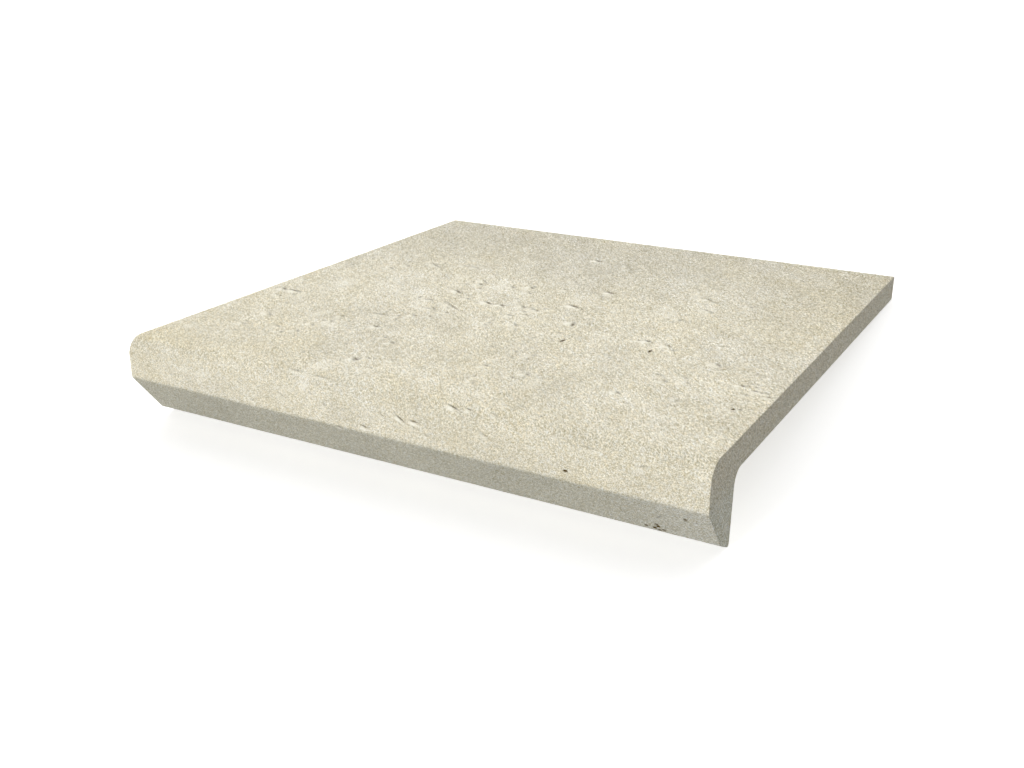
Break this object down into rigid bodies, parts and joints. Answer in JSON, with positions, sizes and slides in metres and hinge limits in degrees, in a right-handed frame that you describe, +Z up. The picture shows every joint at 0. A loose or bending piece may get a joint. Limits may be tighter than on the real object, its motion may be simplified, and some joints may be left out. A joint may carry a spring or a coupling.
{
  "type": "stair nosing tile",
  "caption": "Square stone-look stoneware step tile: a flat tread that turns down at the front into a thick nose with a rounded bend, a chamfer and a drip edge, keyed underneath.",
  "frame": {"origin": "middle of the footprint on the floor, with the tile lying unheld on its drip edge and its lower back edge", "axes": "+X along the nose, to the right seen from the front; +Y from the nose to the back edge; +Z up. At rest the tread slopes down to the back by about 6.6 degrees"},
  "size_m": [0.33, 0.3302, 0.0519],
  "materials": {
    "stoneware": "matte"
  },
  "bodies": {
    "root": {"stair_nosing_tile": "stoneware"}
  },
  "joints": []
}
